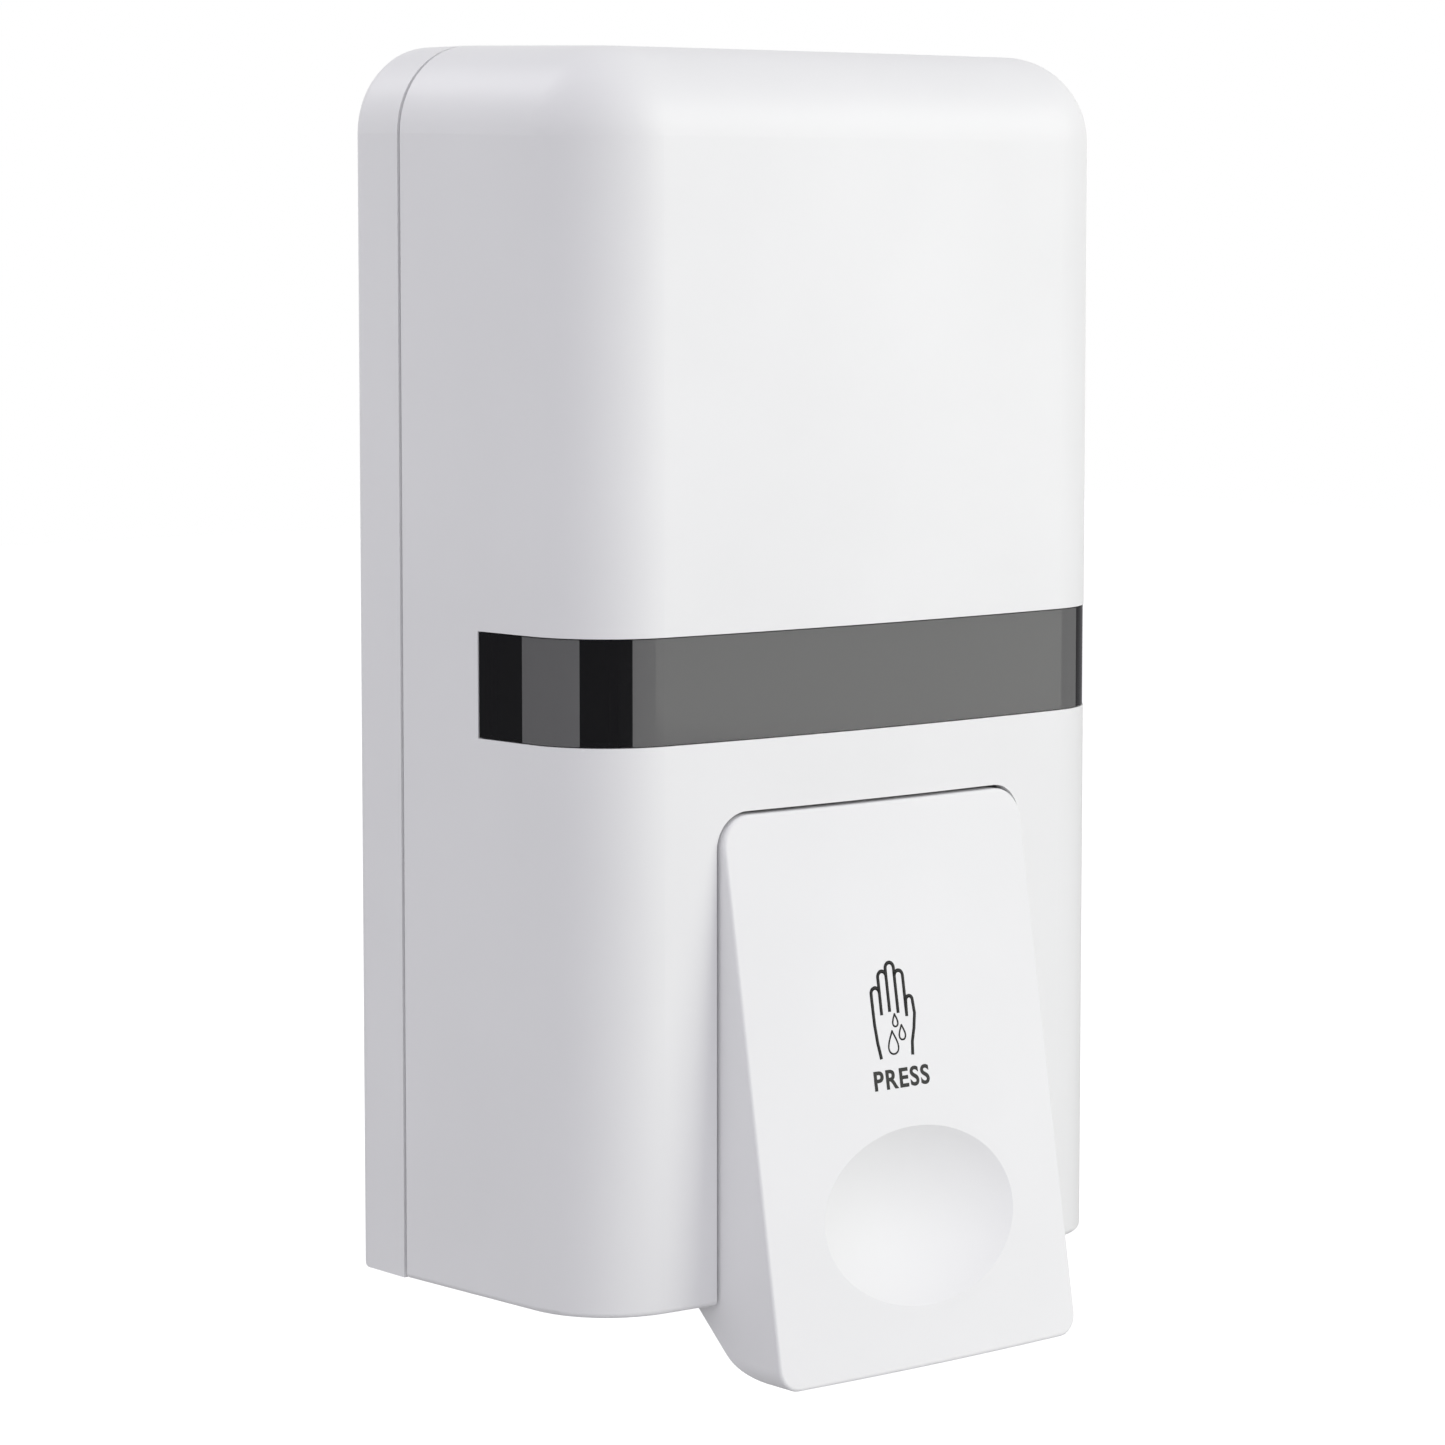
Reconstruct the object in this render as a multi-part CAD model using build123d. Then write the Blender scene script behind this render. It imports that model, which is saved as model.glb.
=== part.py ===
from build123d import *
import math
import os

# Wall mounted soap dispenser with a pressed lever, in millimetres.
# X is to the right of someone who faces it, +Y goes into the wall and Z is up.
# The origin is the middle of the screw pattern, on the face that meets the wall.

# Case
body_width = 133.4
body_height = 226.0
plate_depth = 15.0
cover_depth = 55.5
shell = 2.5
rear_wall = 3.0
corner_radius = 18.0
front_bow = 600.0
side_draft = 3.2
top_radius = 16.0
top_slope = 1.5
foot_radius = 1.0
plate_edge_radius = 4.0
parting_gap = 0.8

# Lip of the back plate that the cover closes over
lip_wall = 1.5
lip_gap = 0.4
lip_reach = 3.0
lip_root = 4.0
lip_start = 10.0

# Wall screws
screw_spacing_x = 84.0
screw_spacing_z = 96.0
screw_hole_radius = 2.6
screw_boss_radius = 7.0
screw_boss_height = 1.5

# Cover hinge at the bottom of the parting line
hinge_inset = 22.0
knuckle_length = 6.0
knuckle_radius = 3.2
knuckle_gap = 0.4
hinge_pin_radius = 1.5

# Fits between a pin or shaft and its hole
held_fit = 0.02
running_fit = 0.06
thread_fit = 0.12

# Sight window
window_bottom = 101.9
window_height = 19.3
window_wrap = 33.6
window_fit = 0.2
window_recess = 0.15
flange_reach = 3.0
flange_wall = 1.4
flange_seat = 0.05
window_rib = 2.0
end_rib_length = 12.0
corner_rib_inset = 5.5
corner_rib_width = 7.2

# Lever
lever_width = 72.4
lever_top = 88.5
lever_drop = 13.0
lever_proud = 0.5
lever_tilt = 9.5
lever_wall = 2.4
lever_gap = 0.65
lever_top_corner = 6.0
lever_foot_corner = 4.0
lever_edge = 0.6
lever_setback = 7.5
lever_lip = 4.5
heel_radius = 19.0
heel_sweep = 42.0
heel_relief = 4.0
press_angle = 8.5
dish_width = 46.0
dish_height = 32.5
dish_depth = 5.0
dish_centre = 13.9

# Lever pivot
pivot_drop = 6.5
pivot_setback = 7.5
pivot_pin_radius = 1.5
pivot_boss_radius = 4.5
pivot_boss_length = 6.5
lever_knuckle = 4.0

# Stops that keep the lever from swinging out
stop_height = 20.0
stop_length = 9.0
stop_reach = 2.5
stop_gap = 0.3

# Push pad behind the lever
pad_width = 16.0
pad_radius = 3.0
pad_reach = 4.0
pad_gap = 0.3

# Plunger
plunger_height = 32.0
head_radius = 7.0
head_thickness = 2.5
plunger_rod_radius = 4.0
piston_length = 6.0
groove_width = 2.0
groove_depth = 1.85
seal_squeeze = 0.05

# Pump
bore_radius = 8.0
pump_wall = 3.0
pump_end = 3.0
spring_room = 9.0
end_clearance = 0.6
piston_rest_gap = 0.3
cap_wall = 2.5
cap_front = 2.5
cap_skirt = 7.5
port_radius = 3.0
spigot_radius = 4.0
spigot_length = 6.0
inlet_radius = 9.0
inlet_bore = 6.5
valve_chamber = 3.5
valve_web = 2.5
valve_well = 5.0
flow_hole_radius = 1.2
flow_hole_pitch = 4.0
flow_holes = 6
pump_flange = 3.0
outlet_length = 9.0
outlet_radius = 6.0
outlet_bore = 2.5

# Return spring
spring_radius = 5.0
spring_wire = 0.5
spring_turns = 6
spring_seat = 0.05

# Valves and nozzle
stem_radius = 1.2
umbrella_radius = 5.6
umbrella_thickness = 0.9
bulb_radius = 1.9
bulb_height = 1.6
duckbill_flange = 5.4
duckbill_flange_thickness = 1.2
duckbill_radius = 3.6
duckbill_wall = 1.0
duckbill_length = 6.0
duckbill_lip = 0.8
duckbill_slit = 0.15
nozzle_wall = 2.0
nozzle_grip = 7.0
nozzle_clearance = 0.7
nozzle_floor = 2.0
nozzle_chamfer = 1.5
nozzle_hole = 3.0

# Tank, its neck and the nut below it
tank_wall = 1.8
tank_side_gap = 7.0
tank_rear_gap = 5.5
tank_front_gap = 14.0
tank_headroom = 24.0
tank_front_corner = 4.0
tank_rear_corner = 4.0
tank_edge = 3.0
neck_radius = 12.0
neck_bore = 9.0
neck_length = 13.0
gasket_thickness = 1.5
nut_wall = 3.0
nut_lip = 2.0
nut_grip = 8.5
nut_flutes = 12
nut_flute_radius = 1.2

# Fill mouth
mouth_length = 64.0
mouth_width = 28.0
mouth_corner = 8.0
mouth_rim = 3.0
mouth_wall = 2.0
lid_gasket_thickness = 1.0
lid_thickness = 2.0
lid_skirt = 3.5
lid_wall = 1.8
lid_fit = 0.1
lid_tab_length = 5.0
lid_tab_width = 16.0

# Shelf and pump stay on the back plate
shelf_height = 70.0
shelf_thickness = 3.0
shelf_half_width = 52.0
shelf_overhang = 2.0
shelf_slot_gap = 1.0
ear_height = 3.0
ear_length = 12.0
ear_gap = 0.3
gusset_thickness = 2.5
gusset_height = 20.0
gusset_length = 36.0
gusset_x = 46.0
stay_rib = 3.0
stay_half_span = 9.0
stay_cup_wall = 3.0
stay_cup_length = 8.0

# Lock
lock_setback = 6.1
barrel_radius = 4.0
barrel_flange = 5.4
barrel_flange_thickness = 1.0
lock_boss_depth = 8.7
lock_boss_wall = 1.9
cam_gap = 0.3
cam_thickness = 3.0
cam_width = 6.0
cam_reach = 16.0
cam_square = 5.4
hook_depth = 3.0
hook_height = 4.0
catch_half_width = 4.0
catch_thickness = 2.0
catch_setback = 3.6
catch_gap = 0.5
key_slot_length = 5.5
key_slot_width = 1.2
key_slot_depth = 5.0
lock_washer_thickness = 0.8
lock_washer_radius = 4.5
lock_screw_radius = 1.4
lock_screw_length = 7.0
lock_screw_head = 3.0
lock_screw_head_height = 2.0

# Extra length on a cutting tool, so that it passes right through
through = 1.0


def up(height):
    """Height above the case's lower edge, in the part's own frame."""
    return height - body_height / 2


parting_y = -plate_depth
cover_rear_y = parting_y - parting_gap
front_y = parting_y - cover_depth
half_width = body_width / 2
bottom_z = up(0)
top_z = up(body_height)

lever_tan = math.tan(math.radians(lever_tilt))
lever_cos = math.cos(math.radians(lever_tilt))
lever_sin = math.sin(math.radians(lever_tilt))
lever_half = lever_width / 2
cutout_half = lever_half + lever_gap
lever_top_y = front_y - lever_proud
lever_rear_y = front_y + lever_setback
pivot_y = front_y + pivot_setback
pivot_z = up(lever_top - pivot_drop)


def lever_face_y(z):
    """Depth of the lever's front face at one height."""
    return lever_top_y - (up(lever_top) - z) * lever_tan


# The lever's underside runs back from its tip as a flat lip, a round heel and a straight slope
tip_z = bottom_z - lever_drop
tip_y = lever_face_y(tip_z)
heel_turn = math.radians(heel_sweep)
heel_end_y = tip_y + lever_lip + heel_radius * math.sin(heel_turn)
heel_end_z = tip_z + heel_radius * (1 - math.cos(heel_turn))
shoulder_z = heel_end_z + (lever_rear_y - heel_end_y) * math.tan(heel_turn)

# The pump's places along Y follow from the lever, from the pad back to the stay
plunger_z = up(plunger_height)
lever_arm = pivot_z - plunger_z
stroke = lever_arm * math.radians(press_angle)
pad_y = lever_face_y(plunger_z) + lever_wall / lever_cos + pad_reach
head_front_y = pad_y + pad_gap
head_rear_y = head_front_y + head_thickness
cap_front_y = head_rear_y + stroke + end_clearance
cylinder_front_y = cap_front_y + cap_front
piston_front_y = cylinder_front_y + piston_rest_gap
piston_rear_y = piston_front_y + piston_length
chamber_end_y = piston_rear_y + stroke + spring_room
pump_rear_y = chamber_end_y + pump_end
port_y = pump_rear_y - inlet_radius
cylinder_radius = bore_radius + pump_wall

# Heights from the shelf down to the pump, and from the pump down to the nozzle
shelf_z = up(shelf_height)
neck_end_z = shelf_z - neck_length
flange_top_z = neck_end_z - gasket_thickness
flange_bottom_z = flange_top_z - pump_flange
nut_bottom_z = flange_bottom_z - nut_lip
nut_top_z = neck_end_z + nut_grip
web_top_z = flange_top_z - valve_well
web_bottom_z = web_top_z - valve_web
inlet_floor_z = web_bottom_z - valve_chamber
outlet_end_z = plunger_z - cylinder_radius - outlet_length
duckbill_seat_z = outlet_end_z - duckbill_flange_thickness
duckbill_tip_z = duckbill_seat_z - duckbill_length
nozzle_bottom_z = duckbill_tip_z - nozzle_clearance - nozzle_floor
nozzle_top_z = outlet_end_z + nozzle_grip

# Tank
tank_half = half_width - shell - tank_side_gap
tank_rear_y = -rear_wall - tank_rear_gap
tank_front_y = front_y + tank_front_gap
tank_top_z = top_z - tank_headroom
mouth_y = (tank_rear_y + tank_front_y) / 2
rim_top_z = tank_top_z + mouth_rim
lid_under_z = rim_top_z + lid_gasket_thickness
lid_top_z = lid_under_z + lid_thickness
shelf_front_y = tank_front_y - shelf_overhang

# Lock
lock_y = parting_y + lock_setback
lock_boss_z = top_z - lock_boss_depth
cam_top_z = lock_boss_z - cam_gap
cam_bottom_z = cam_top_z - cam_thickness
washer_bottom_z = cam_bottom_z - lock_washer_thickness

# Hinge: the back plate's knuckle, then the cover's, then the end of the pin
hinge_x = half_width - hinge_inset
cover_knuckle_x = hinge_x + knuckle_length + knuckle_gap
hinge_end_x = cover_knuckle_x + knuckle_length


def block(x_range, y_range, z_range):
    """Box between two limits on each axis."""
    low = [min(pair) for pair in (x_range, y_range, z_range)]
    size = [abs(pair[1] - pair[0]) for pair in (x_range, y_range, z_range)]
    return Pos(*low) * Box(*size, align=Align.MIN)


def rod(start, end, radius):
    """Round bar between two points."""
    axis = Vector(*end) - Vector(*start)
    return extrude(Plane(origin=start, z_dir=axis) * Circle(radius), axis.length)


def upright(y, z_range, radius):
    """Round bar that stands on the middle plane."""
    return rod((0, y, z_range[0]), (0, y, z_range[1]), radius)


def crossbar(x_range, y, z, radius):
    """Round bar from left to right."""
    return rod((x_range[0], y, z), (x_range[1], y, z), radius)


def pump_bar(y_range, radius):
    """Round bar on the plunger's axis."""
    return rod((0, y_range[0], plunger_z), (0, y_range[1], plunger_z), radius)


def side_prism(points, half):
    """Prism from left to right, drawn as points of depth and height."""
    return extrude(Plane.YZ * Polygon(*points, align=None), half, both=True)


def both_sides(piece):
    """The piece and its mirror image across the middle plane."""
    return piece + mirror(piece, Plane.YZ)


def case_block(inset, rear_y, floor_z):
    """Solid case in front of rear_y, with its faces moved inward by inset."""
    taper = math.tan(math.radians(side_draft))
    fall = math.tan(math.radians(top_slope))
    beyond_y = front_y - through
    rear_half = half_width - inset + taper * (rear_y - parting_y)
    beyond_half = half_width - inset + taper * (beyond_y - parting_y)
    rear_top = top_z - inset + fall * (rear_y - parting_y)
    beyond_top = top_z - inset + fall * (beyond_y - parting_y)
    plan = Polygon((rear_half, rear_y), (-rear_half, rear_y), (-beyond_half, beyond_y),
                   (beyond_half, beyond_y), align=None)
    plan &= Pos(0, front_y + front_bow) * Circle(front_bow - inset)
    plan = fillet(plan.vertices().group_by(Axis.Y)[0], corner_radius - inset)
    tall = extrude(Pos(0, 0, floor_z) * plan, body_height + cover_depth, dir=(0, 0, 1))
    solid = tall & side_prism([(rear_y, floor_z), (rear_y, rear_top), (beyond_y, beyond_top),
                               (beyond_y, floor_z)], body_width)
    top_face = solid.faces().sort_by(Axis.Z)[-1]
    top_edges = [edge for edge in top_face.edges() if edge.center().Y < rear_y - through]
    return solid.fillet(top_radius - inset, top_edges)


def front_inner_y(x):
    """Depth of the front wall's inner face at one distance from the middle."""
    return front_y + front_bow - math.sqrt((front_bow - shell) ** 2 - x ** 2)


def plate_slab(inset, rear_y, slab_front_y):
    """Slab with the back plate's outline, moved inward by inset, between two depths."""
    half = half_width - inset
    outline = Polygon((-half, bottom_z + inset), (half, bottom_z + inset), (half, top_z - inset),
                      (-half, top_z - inset), align=None)
    outline = fillet(outline.vertices().group_by(Axis.Y)[-1], top_radius - inset)
    return extrude(Plane.XZ.offset(-rear_y) * outline, rear_y - slab_front_y, dir=(0, -1, 0))


def make_back_plate():
    """Rear shell with the shelf, the pump's stay, the lock's boss and half of the hinge."""
    tray = plate_slab(0, 0, parting_y)
    wall_face = tray.faces().sort_by(Axis.Y)[-1]
    tray = tray.fillet(plate_edge_radius, wall_face.edges())
    tray -= plate_slab(shell, -rear_wall, parting_y - through)

    lip_inset = shell + lip_gap + lip_wall
    lip_rear_y = parting_y + lip_root
    lip_front_y = parting_y - lip_reach
    lip = plate_slab(shell + lip_gap, lip_rear_y, lip_front_y)
    lip += plate_slab(shell / 2, lip_rear_y, parting_y)
    lip -= plate_slab(lip_inset, lip_rear_y + through, lip_front_y - through)
    lip -= block((-body_width, body_width), (0, front_y), (bottom_z - through, up(lip_start)))

    plate = tray + lip + make_shelf() + make_pump_stay() + make_screw_bosses()

    lock_boss = upright(lock_y, (lock_boss_z, top_z - shell / 2), barrel_radius + lock_boss_wall)
    plate += lock_boss
    plate -= upright(lock_y, (lock_boss_z - through, top_z + through), barrel_radius + running_fit)
    plate -= upright(lock_y, (top_z - barrel_flange_thickness, top_z + through),
                     barrel_flange + running_fit)

    knuckle = crossbar((hinge_x, hinge_x + knuckle_length), parting_y, bottom_z, knuckle_radius)
    clear_x = (cover_knuckle_x - knuckle_gap, hinge_end_x + knuckle_gap)
    clear = crossbar(clear_x, parting_y, bottom_z, knuckle_radius + knuckle_gap)
    pin_x = (hinge_x - through, hinge_x + knuckle_length + through)
    pin_hole = crossbar(pin_x, parting_y, bottom_z, hinge_pin_radius + held_fit)
    plate -= both_sides(clear)
    plate += both_sides(knuckle)
    plate -= both_sides(pin_hole)

    for x in (-screw_spacing_x / 2, screw_spacing_x / 2):
        for z in (-screw_spacing_z / 2, screw_spacing_z / 2):
            plate -= rod((x, through, z), (x, -rear_wall - screw_boss_height - through, z),
                         screw_hole_radius)
    return plate


def make_screw_bosses():
    """Raised rings round the four screw holes."""
    bosses = []
    for x in (-screw_spacing_x / 2, screw_spacing_x / 2):
        for z in (-screw_spacing_z / 2, screw_spacing_z / 2):
            bosses.append(rod((x, -rear_wall / 2, z), (x, -rear_wall - screw_boss_height, z),
                              screw_boss_radius))
    return Part() + bosses


def make_shelf():
    """Shelf that the tank slides on to, with gussets, a slot for the neck and two ears."""
    root_y = -rear_wall / 2
    under_z = shelf_z - shelf_thickness
    shelf = block((-shelf_half_width, shelf_half_width), (root_y, shelf_front_y), (under_z, shelf_z))
    slot_half = neck_radius + shelf_slot_gap
    shelf -= block((-slot_half, slot_half), (port_y, shelf_front_y - through),
                   (under_z - through, shelf_z + through))
    shelf -= upright(port_y, (under_z - through, shelf_z + through), slot_half)
    ear = block((shelf_half_width - ear_length, shelf_half_width), (tank_front_y - ear_gap, shelf_front_y),
                (under_z, shelf_z + ear_height))
    gusset = side_prism([(root_y, shelf_z - gusset_height), (root_y, shelf_z), (-gusset_length, shelf_z),
                         (-gusset_length, under_z)], gusset_thickness / 2)
    gusset &= block((-body_width, body_width), (0, front_y), (bottom_z, shelf_z - shelf_thickness / 2))
    return shelf + both_sides(ear) + both_sides(Pos(gusset_x, 0, 0) * gusset)


def make_pump_stay():
    """Crossed ribs from the rear wall to a cup that holds the pump's spigot."""
    span_y = (-rear_wall / 2, pump_rear_y)
    thin = stay_rib / 2
    stay = block((-thin, thin), span_y, (plunger_z - stay_half_span, plunger_z + stay_half_span))
    stay += block((-stay_half_span, stay_half_span), span_y, (plunger_z - thin, plunger_z + thin))
    stay += pump_bar((pump_rear_y + stay_cup_length, pump_rear_y), spigot_radius + stay_cup_wall)
    hole_y = (pump_rear_y + spigot_length + piston_rest_gap, pump_rear_y - through)
    return stay - pump_bar(hole_y, spigot_radius + running_fit)


def make_hinge_pins():
    """One pin for each side of the cover's hinge."""
    return both_sides(crossbar((hinge_x, hinge_end_x), parting_y, bottom_z, hinge_pin_radius))


def make_front_cover():
    """Front shell, open behind and under the lever, with its bosses, catch and knuckles."""
    outside = case_block(0, cover_rear_y, bottom_z)
    floor_face = outside.faces().sort_by(Axis.Z)[0]
    foot_edges = [edge for edge in floor_face.edges() if edge.center().Y < cover_rear_y - through]
    outside = outside.fillet(foot_radius, foot_edges)
    cover = outside - case_block(shell, parting_y + through, bottom_z - through)

    foot_x = cutout_half + stop_reach + stop_gap
    foot = block((foot_x, half_width), (cover_rear_y, front_y), (bottom_z, bottom_z + shell))
    cover += both_sides(foot) & outside

    inside_wall = case_block(shell / 2, cover_rear_y, bottom_z)
    boss_x = (cutout_half, cutout_half + pivot_boss_length)
    boss = crossbar(boss_x, pivot_y, pivot_z, pivot_boss_radius)
    boss += block(boss_x, (front_y, pivot_y), (pivot_z - pivot_boss_radius, pivot_z + pivot_boss_radius))
    cover += both_sides(boss) & inside_wall

    catch_y = parting_y - catch_setback
    catch = block((-catch_half_width, catch_half_width), (catch_y, catch_y - catch_thickness),
                  (cam_top_z + catch_gap, top_z))
    cover += catch & inside_wall

    cut_top = up(lever_top) + lever_gap
    cutout = RectangleRounded(2 * cutout_half, cut_top - tip_z, lever_top_corner + lever_gap)
    cutout = Plane.XZ.offset(-pivot_y) * Pos(0, (cut_top + tip_z) / 2) * cutout
    cover -= extrude(cutout, pivot_y - front_y + through, dir=(0, -1, 0))
    pin_end = boss_x[1] + through
    cover -= crossbar((-pin_end, pin_end), pivot_y, pivot_z, pivot_pin_radius + held_fit)

    window_z = (up(window_bottom), up(window_bottom + window_height))
    cover -= block((-body_width, body_width), (front_y + window_wrap, front_y - through), window_z)

    knuckle = crossbar((cover_knuckle_x, hinge_end_x), parting_y, bottom_z, knuckle_radius)
    clear_x = (hinge_x - knuckle_gap, hinge_x + knuckle_length + knuckle_gap)
    clear = crossbar(clear_x, parting_y, bottom_z, knuckle_radius + knuckle_gap)
    pin_hole = crossbar((cover_knuckle_x - through, hinge_end_x + through), parting_y, bottom_z,
                        hinge_pin_radius + running_fit)
    cover -= both_sides(clear)
    cover += both_sides(knuckle)
    return cover - both_sides(pin_hole)


def make_sight_window():
    """Clear band, flush in its slot, with a flange behind the cover's wall and four upright ribs."""
    low, high = up(window_bottom), up(window_bottom + window_height)
    end_y = front_y + window_wrap
    across = (-body_width, body_width)
    band = case_block(window_recess, cover_rear_y, bottom_z)
    band &= block(across, (end_y - window_fit, front_y - through), (low + window_fit, high - window_fit))
    flange = case_block(shell + flange_seat, cover_rear_y, bottom_z)
    flange &= block(across, (end_y + flange_reach, front_y - through),
                    (low - flange_reach, high + flange_reach))
    window = band + flange
    flange_inset = shell + flange_seat + flange_wall
    window -= case_block(flange_inset, parting_y + through, bottom_z - through)

    corner_rib_x = half_width - corner_rib_inset
    ribs = block(across, (end_y - window_fit, end_y - end_rib_length), (low, high))
    ribs += both_sides(block((corner_rib_x - corner_rib_width, corner_rib_x),
                             (front_y, front_y + corner_radius), (low, high)))
    ribs &= case_block(flange_inset - flange_wall / 2, cover_rear_y, bottom_z)
    return window + (ribs - case_block(flange_inset + window_rib, parting_y + through, bottom_z - through))


def make_lever_pin():
    """Pin through the cover's two bosses and the lever's two knuckles."""
    end = cutout_half + pivot_boss_length
    return crossbar((-end, end), pivot_y, pivot_z, pivot_pin_radius)


def lever_profile():
    """Side view of the lever: sloped front, flat lip, round heel, slope and upright rear edge."""
    top = up(lever_top)
    heel = CenterArc((tip_y + lever_lip, tip_z + heel_radius), heel_radius, -90, heel_sweep)
    edge = Polyline(heel @ 1, (lever_rear_y, shoulder_z), (lever_rear_y, top), (lever_top_y, top),
                    (tip_y, tip_z), heel @ 0)
    return make_face([heel, *edge.edges()])


def lever_block(outline, inset):
    """Solid lever from its side view, with round corners and a bowed front, moved inward by inset."""
    half = lever_half - inset
    low, high = tip_z + inset, up(lever_top) - inset
    front = Polygon((-half, low), (half, low), (half, high), (-half, high), align=None)
    front = fillet(front.vertices().group_by(Axis.Y)[-1], lever_top_corner - inset)
    front = fillet(front.vertices().group_by(Axis.Y)[0], lever_foot_corner - inset)
    solid = extrude(Plane.YZ * outline, half, both=True) & extrude(Plane.XZ * front, -2 * front_y, both=True)
    start_z = tip_z - heel_radius
    start = (0, lever_face_y(start_z) + front_bow * lever_cos, start_z - front_bow * lever_sin)
    bow_plane = Plane(origin=start, x_dir=(1, 0, 0), z_dir=(0, lever_sin, lever_cos))
    return solid & extrude(bow_plane * Circle(front_bow - inset), 2 * (up(lever_top) - start_z))


def make_push_lever():
    """Hollow lever with a finger dish, a push pad, knuckles for its pin and two stops."""
    outline = lever_profile()
    outside = lever_block(outline, 0)
    front_face = outside.faces().sort_by(lambda face: face.center().Y)[0]
    outside = outside.fillet(lever_edge, front_face.edges())

    inner_half = lever_half - lever_wall
    cavity = lever_block(offset(outline, -lever_wall, kind=Kind.INTERSECTION), lever_wall)
    top = up(lever_top) - lever_top_corner
    opening_z = shoulder_z + 2 * lever_wall
    cavity += block((-inner_half, inner_half), (lever_rear_y - 2 * lever_wall, lever_rear_y + through),
                    (opening_z, top))

    tilt_normal = (0, -lever_cos, lever_sin)
    dish_z = up(dish_centre)
    face_plane = Plane(origin=(0, lever_face_y(dish_z), dish_z), x_dir=(1, 0, 0), z_dir=tilt_normal)
    dish_radius = ((dish_height / 2) ** 2 + dish_depth ** 2) / (2 * dish_depth)
    rim_sag = front_bow - math.sqrt(front_bow ** 2 - (dish_width / 2) ** 2)
    rim_reach = math.sqrt(dish_radius ** 2 - (dish_radius - dish_depth + rim_sag) ** 2)
    stretch = (dish_width / 2 / rim_reach, 1, 1)
    dish_place = face_plane * Pos(0, 0, dish_radius - dish_depth)
    poles_aside = Rot(90, 0, 0)
    cavity -= dish_place * scale(poles_aside * Sphere(dish_radius + lever_wall), by=stretch)
    pad_x = (-pad_width / 2, pad_width / 2)
    pad = crossbar(pad_x, pad_y - pad_radius, plunger_z, pad_radius)
    pad += block(pad_x, (lever_face_y(plunger_z), pad_y - pad_radius),
                 (plunger_z - pad_radius, plunger_z + pad_radius))
    cavity -= pad
    lever = outside - cavity
    lever -= dish_place * scale(poles_aside * Sphere(dish_radius), by=stretch)

    relief_half = outlet_radius + thread_fit + nozzle_wall + heel_relief
    lever -= block((-relief_half, relief_half), (lever_rear_y - heel_relief, lever_rear_y + through),
                   (tip_z, opening_z + through))

    knuckle_x = (inner_half - lever_knuckle, lever_half)
    lever += both_sides(crossbar(knuckle_x, pivot_y, pivot_z, pivot_boss_radius))
    lever -= crossbar((-lever_half - through, lever_half + through), pivot_y, pivot_z,
                      pivot_pin_radius + running_fit)

    stop_x = (lever_half - lever_wall / 2, cutout_half + stop_reach)
    stop_y = (front_inner_y(stop_x[1]) + stop_gap, lever_rear_y)
    stop = block(stop_x, stop_y, (up(stop_height), up(stop_height + stop_length)))
    return lever + both_sides(stop)


def make_plunger():
    """Head, rod and grooved piston on one axis."""
    piston_radius = bore_radius - running_fit
    plunger = pump_bar((head_front_y, head_rear_y), head_radius)
    plunger += pump_bar((head_rear_y, piston_front_y), plunger_rod_radius)
    plunger += pump_bar((piston_front_y, piston_rear_y), piston_radius)
    groove_y = piston_front_y + (piston_length - groove_width) / 2
    groove = pump_bar((groove_y, groove_y + groove_width), bore_radius)
    groove -= pump_bar((groove_y, groove_y + groove_width), piston_radius - groove_depth)
    return plunger - groove


def make_plunger_seal():
    """Ring in the piston's groove, a little inside the bore."""
    outer = bore_radius - seal_squeeze
    inner = bore_radius - running_fit - groove_depth + seal_squeeze
    section = (outer - inner) / 2
    middle_y = piston_front_y + piston_length / 2
    ring_plane = Plane(origin=(0, middle_y, plunger_z), z_dir=(0, 1, 0))
    return ring_plane * Torus(inner + section, section)


def tangent_biarc(start, start_way, end, end_way):
    """Two arcs that leave start and reach end along the given directions."""
    gap = end - start
    ways = start_way + end_way
    square = ways.dot(ways) - 4
    middle = gap.dot(ways)
    reach = (middle - math.sqrt(middle ** 2 - square * gap.dot(gap))) / square
    first_corner = start + start_way * reach
    second_corner = end - end_way * reach
    knot = (first_corner + second_corner) / 2
    return [TangentArc(start, knot, tangent=start_way),
            TangentArc(knot, end, tangent=second_corner - first_corner)]


def make_return_spring():
    """Coil between the piston and the end of the chamber, as one tube of half turns."""
    first_y = piston_rear_y + spring_wire + spring_seat
    length = chamber_end_y - spring_wire - spring_seat - first_y
    half_turns = 2 * spring_turns
    rise = length / (half_turns * math.pi)

    def place(angle):
        return Vector(spring_radius * math.cos(angle), first_y + rise * angle,
                      plunger_z + spring_radius * math.sin(angle))

    def way(angle):
        return Vector(-spring_radius * math.sin(angle), rise, spring_radius * math.cos(angle)).normalized()

    arcs = []
    for turn in range(half_turns):
        start, end = turn * math.pi, (turn + 1) * math.pi
        arcs += tangent_biarc(place(start), way(start), place(end), way(end))
    coil_gap = 2 * math.pi * rise - 2 * spring_wire
    print("least gap between the spring's turns, mm:", round(coil_gap, 2))
    section = Plane(origin=place(0), z_dir=way(0)) * Circle(spring_wire)
    return sweep(section, path=Wire(arcs))


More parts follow.
